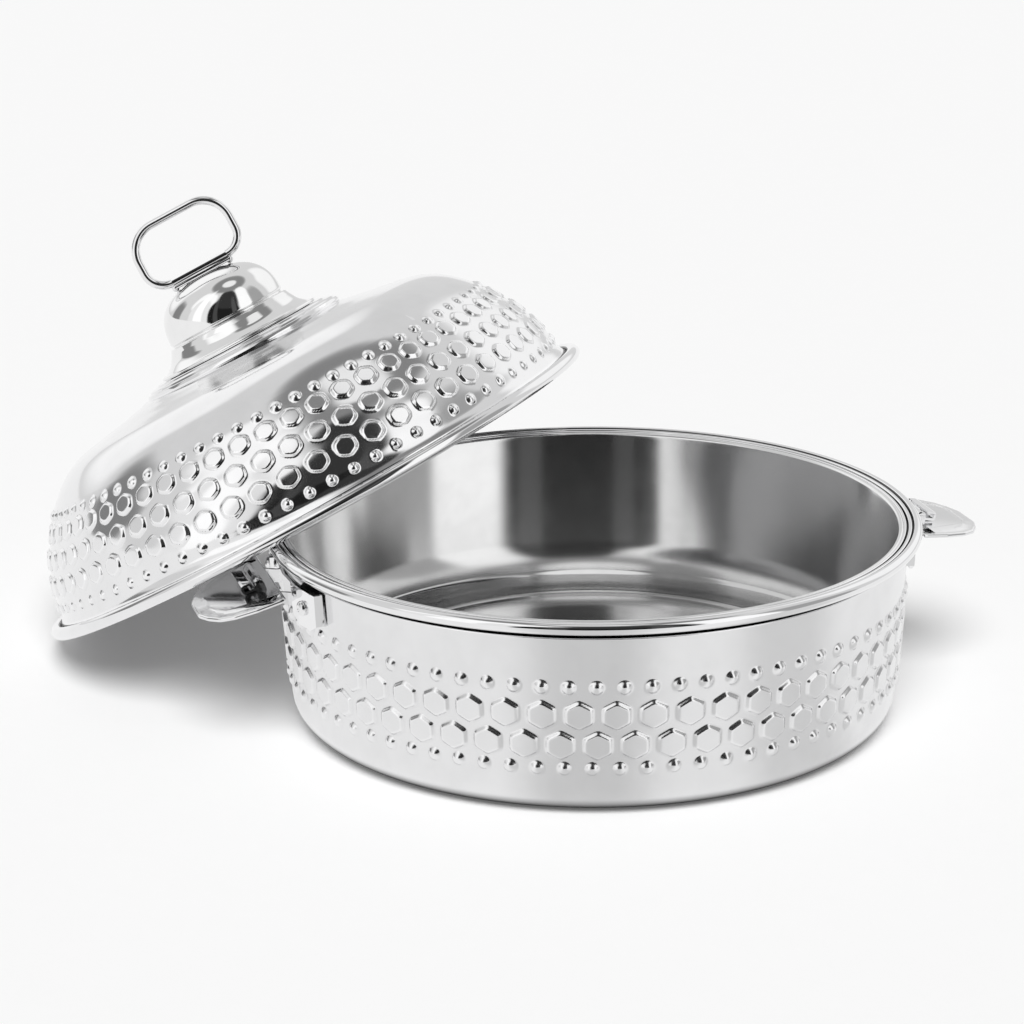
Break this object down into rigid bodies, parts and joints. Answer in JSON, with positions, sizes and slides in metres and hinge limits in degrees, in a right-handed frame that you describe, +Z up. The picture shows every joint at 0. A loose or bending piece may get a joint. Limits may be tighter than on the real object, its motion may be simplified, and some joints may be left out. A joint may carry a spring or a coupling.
{
  "type": "insulated chapati casserole",
  "caption": "Round double-walled stainless steel casserole with hexagon embossing, side clasps and a bell-knobbed lid leaning open on its rim.",
  "frame": {"origin": "centre of the flat underside of the pot's base disc, on the pot's axis", "axes": "+Z up along the pot's axis, -Y towards the side with the two seen rivets, -X towards the leaning lid"},
  "size_m": [0.4462, 0.3907, 0.2142],
  "materials": {
    "satin_steel": "satin, pressed in hexagons",
    "polished_steel": "bright, finely spun",
    "mirror_steel": "mirror polish",
    "clasp_steel": "stamped sheet, bright",
    "insulation_foam": "rigid foam"
  },
  "bodies": {
    "pot": {"pot_outer_shell": "satin_steel", "pot_inner_pan": "polished_steel", "pot_rim_bead": "polished_steel", "pot_base_disc": "satin_steel", "pot_insulation": "insulation_foam", "bracket_left": "clasp_steel", "bracket_right": "clasp_steel", "rivet_left_front": "clasp_steel", "rivet_left_back": "clasp_steel", "rivet_right_front": "clasp_steel", "rivet_right_back": "clasp_steel", "lever_pin_left": "clasp_steel", "lever_pin_right": "clasp_steel"},
    "lid": {"lid_outer_shell": "satin_steel", "lid_inner_shell": "polished_steel", "lid_insulation": "insulation_foam", "lid_rim_bead": "polished_steel", "lid_neck_collar": "polished_steel", "knob_bell": "mirror_steel", "knob_stud": "clasp_steel", "knob_washer": "clasp_steel", "knob_nut": "clasp_steel", "ring_saddle": "mirror_steel"},
    "ring": {"ring_handle": "mirror_steel"},
    "lever_left": {"lever_left": "clasp_steel", "hook_pin_left": "clasp_steel"},
    "lever_right": {"lever_right": "clasp_steel", "hook_pin_right": "clasp_steel"},
    "hook_left": {"hook_left": "clasp_steel"},
    "hook_right": {"hook_right": "clasp_steel"}
  },
  "joints": [
    {"name": "lid_lift", "type": "slide", "parent": "pot", "child": "lid", "axis": [0, 0, 1], "range_m": [0, 0.12]},
    {"name": "ring_swing", "type": "hinge", "parent": "lid", "child": "ring", "pos_m": [-0.19215, 0.11417, 0.17916], "axis": [-0.8791, -0.1655, -0.447], "range_deg": [-80, 80]},
    {"name": "lever_right_pivot", "type": "hinge", "parent": "pot", "child": "lever_right", "pos_m": [0.14489, 0.04596, 0.0732], "axis": [-0.3024, 0.9532, 0], "range_deg": [-12, 77]},
    {"name": "hook_right_pivot", "type": "hinge", "parent": "lever_right", "child": "hook_right", "pos_m": [0.14989, 0.04755, 0.079], "axis": [0.3024, -0.9532, 0], "range_deg": [0, 80]},
    {"name": "lever_left_pivot", "type": "hinge", "parent": "pot", "child": "lever_left", "pos_m": [-0.14489, -0.04596, 0.0732], "axis": [0.3024, -0.9532, 0], "range_deg": [0, 62]},
    {"name": "hook_left_pivot", "type": "hinge", "parent": "lever_left", "child": "hook_left", "pos_m": [-0.15094, -0.04788, 0.07777], "axis": [-0.3024, 0.9532, 0], "range_deg": [0, 14]}
  ]
}
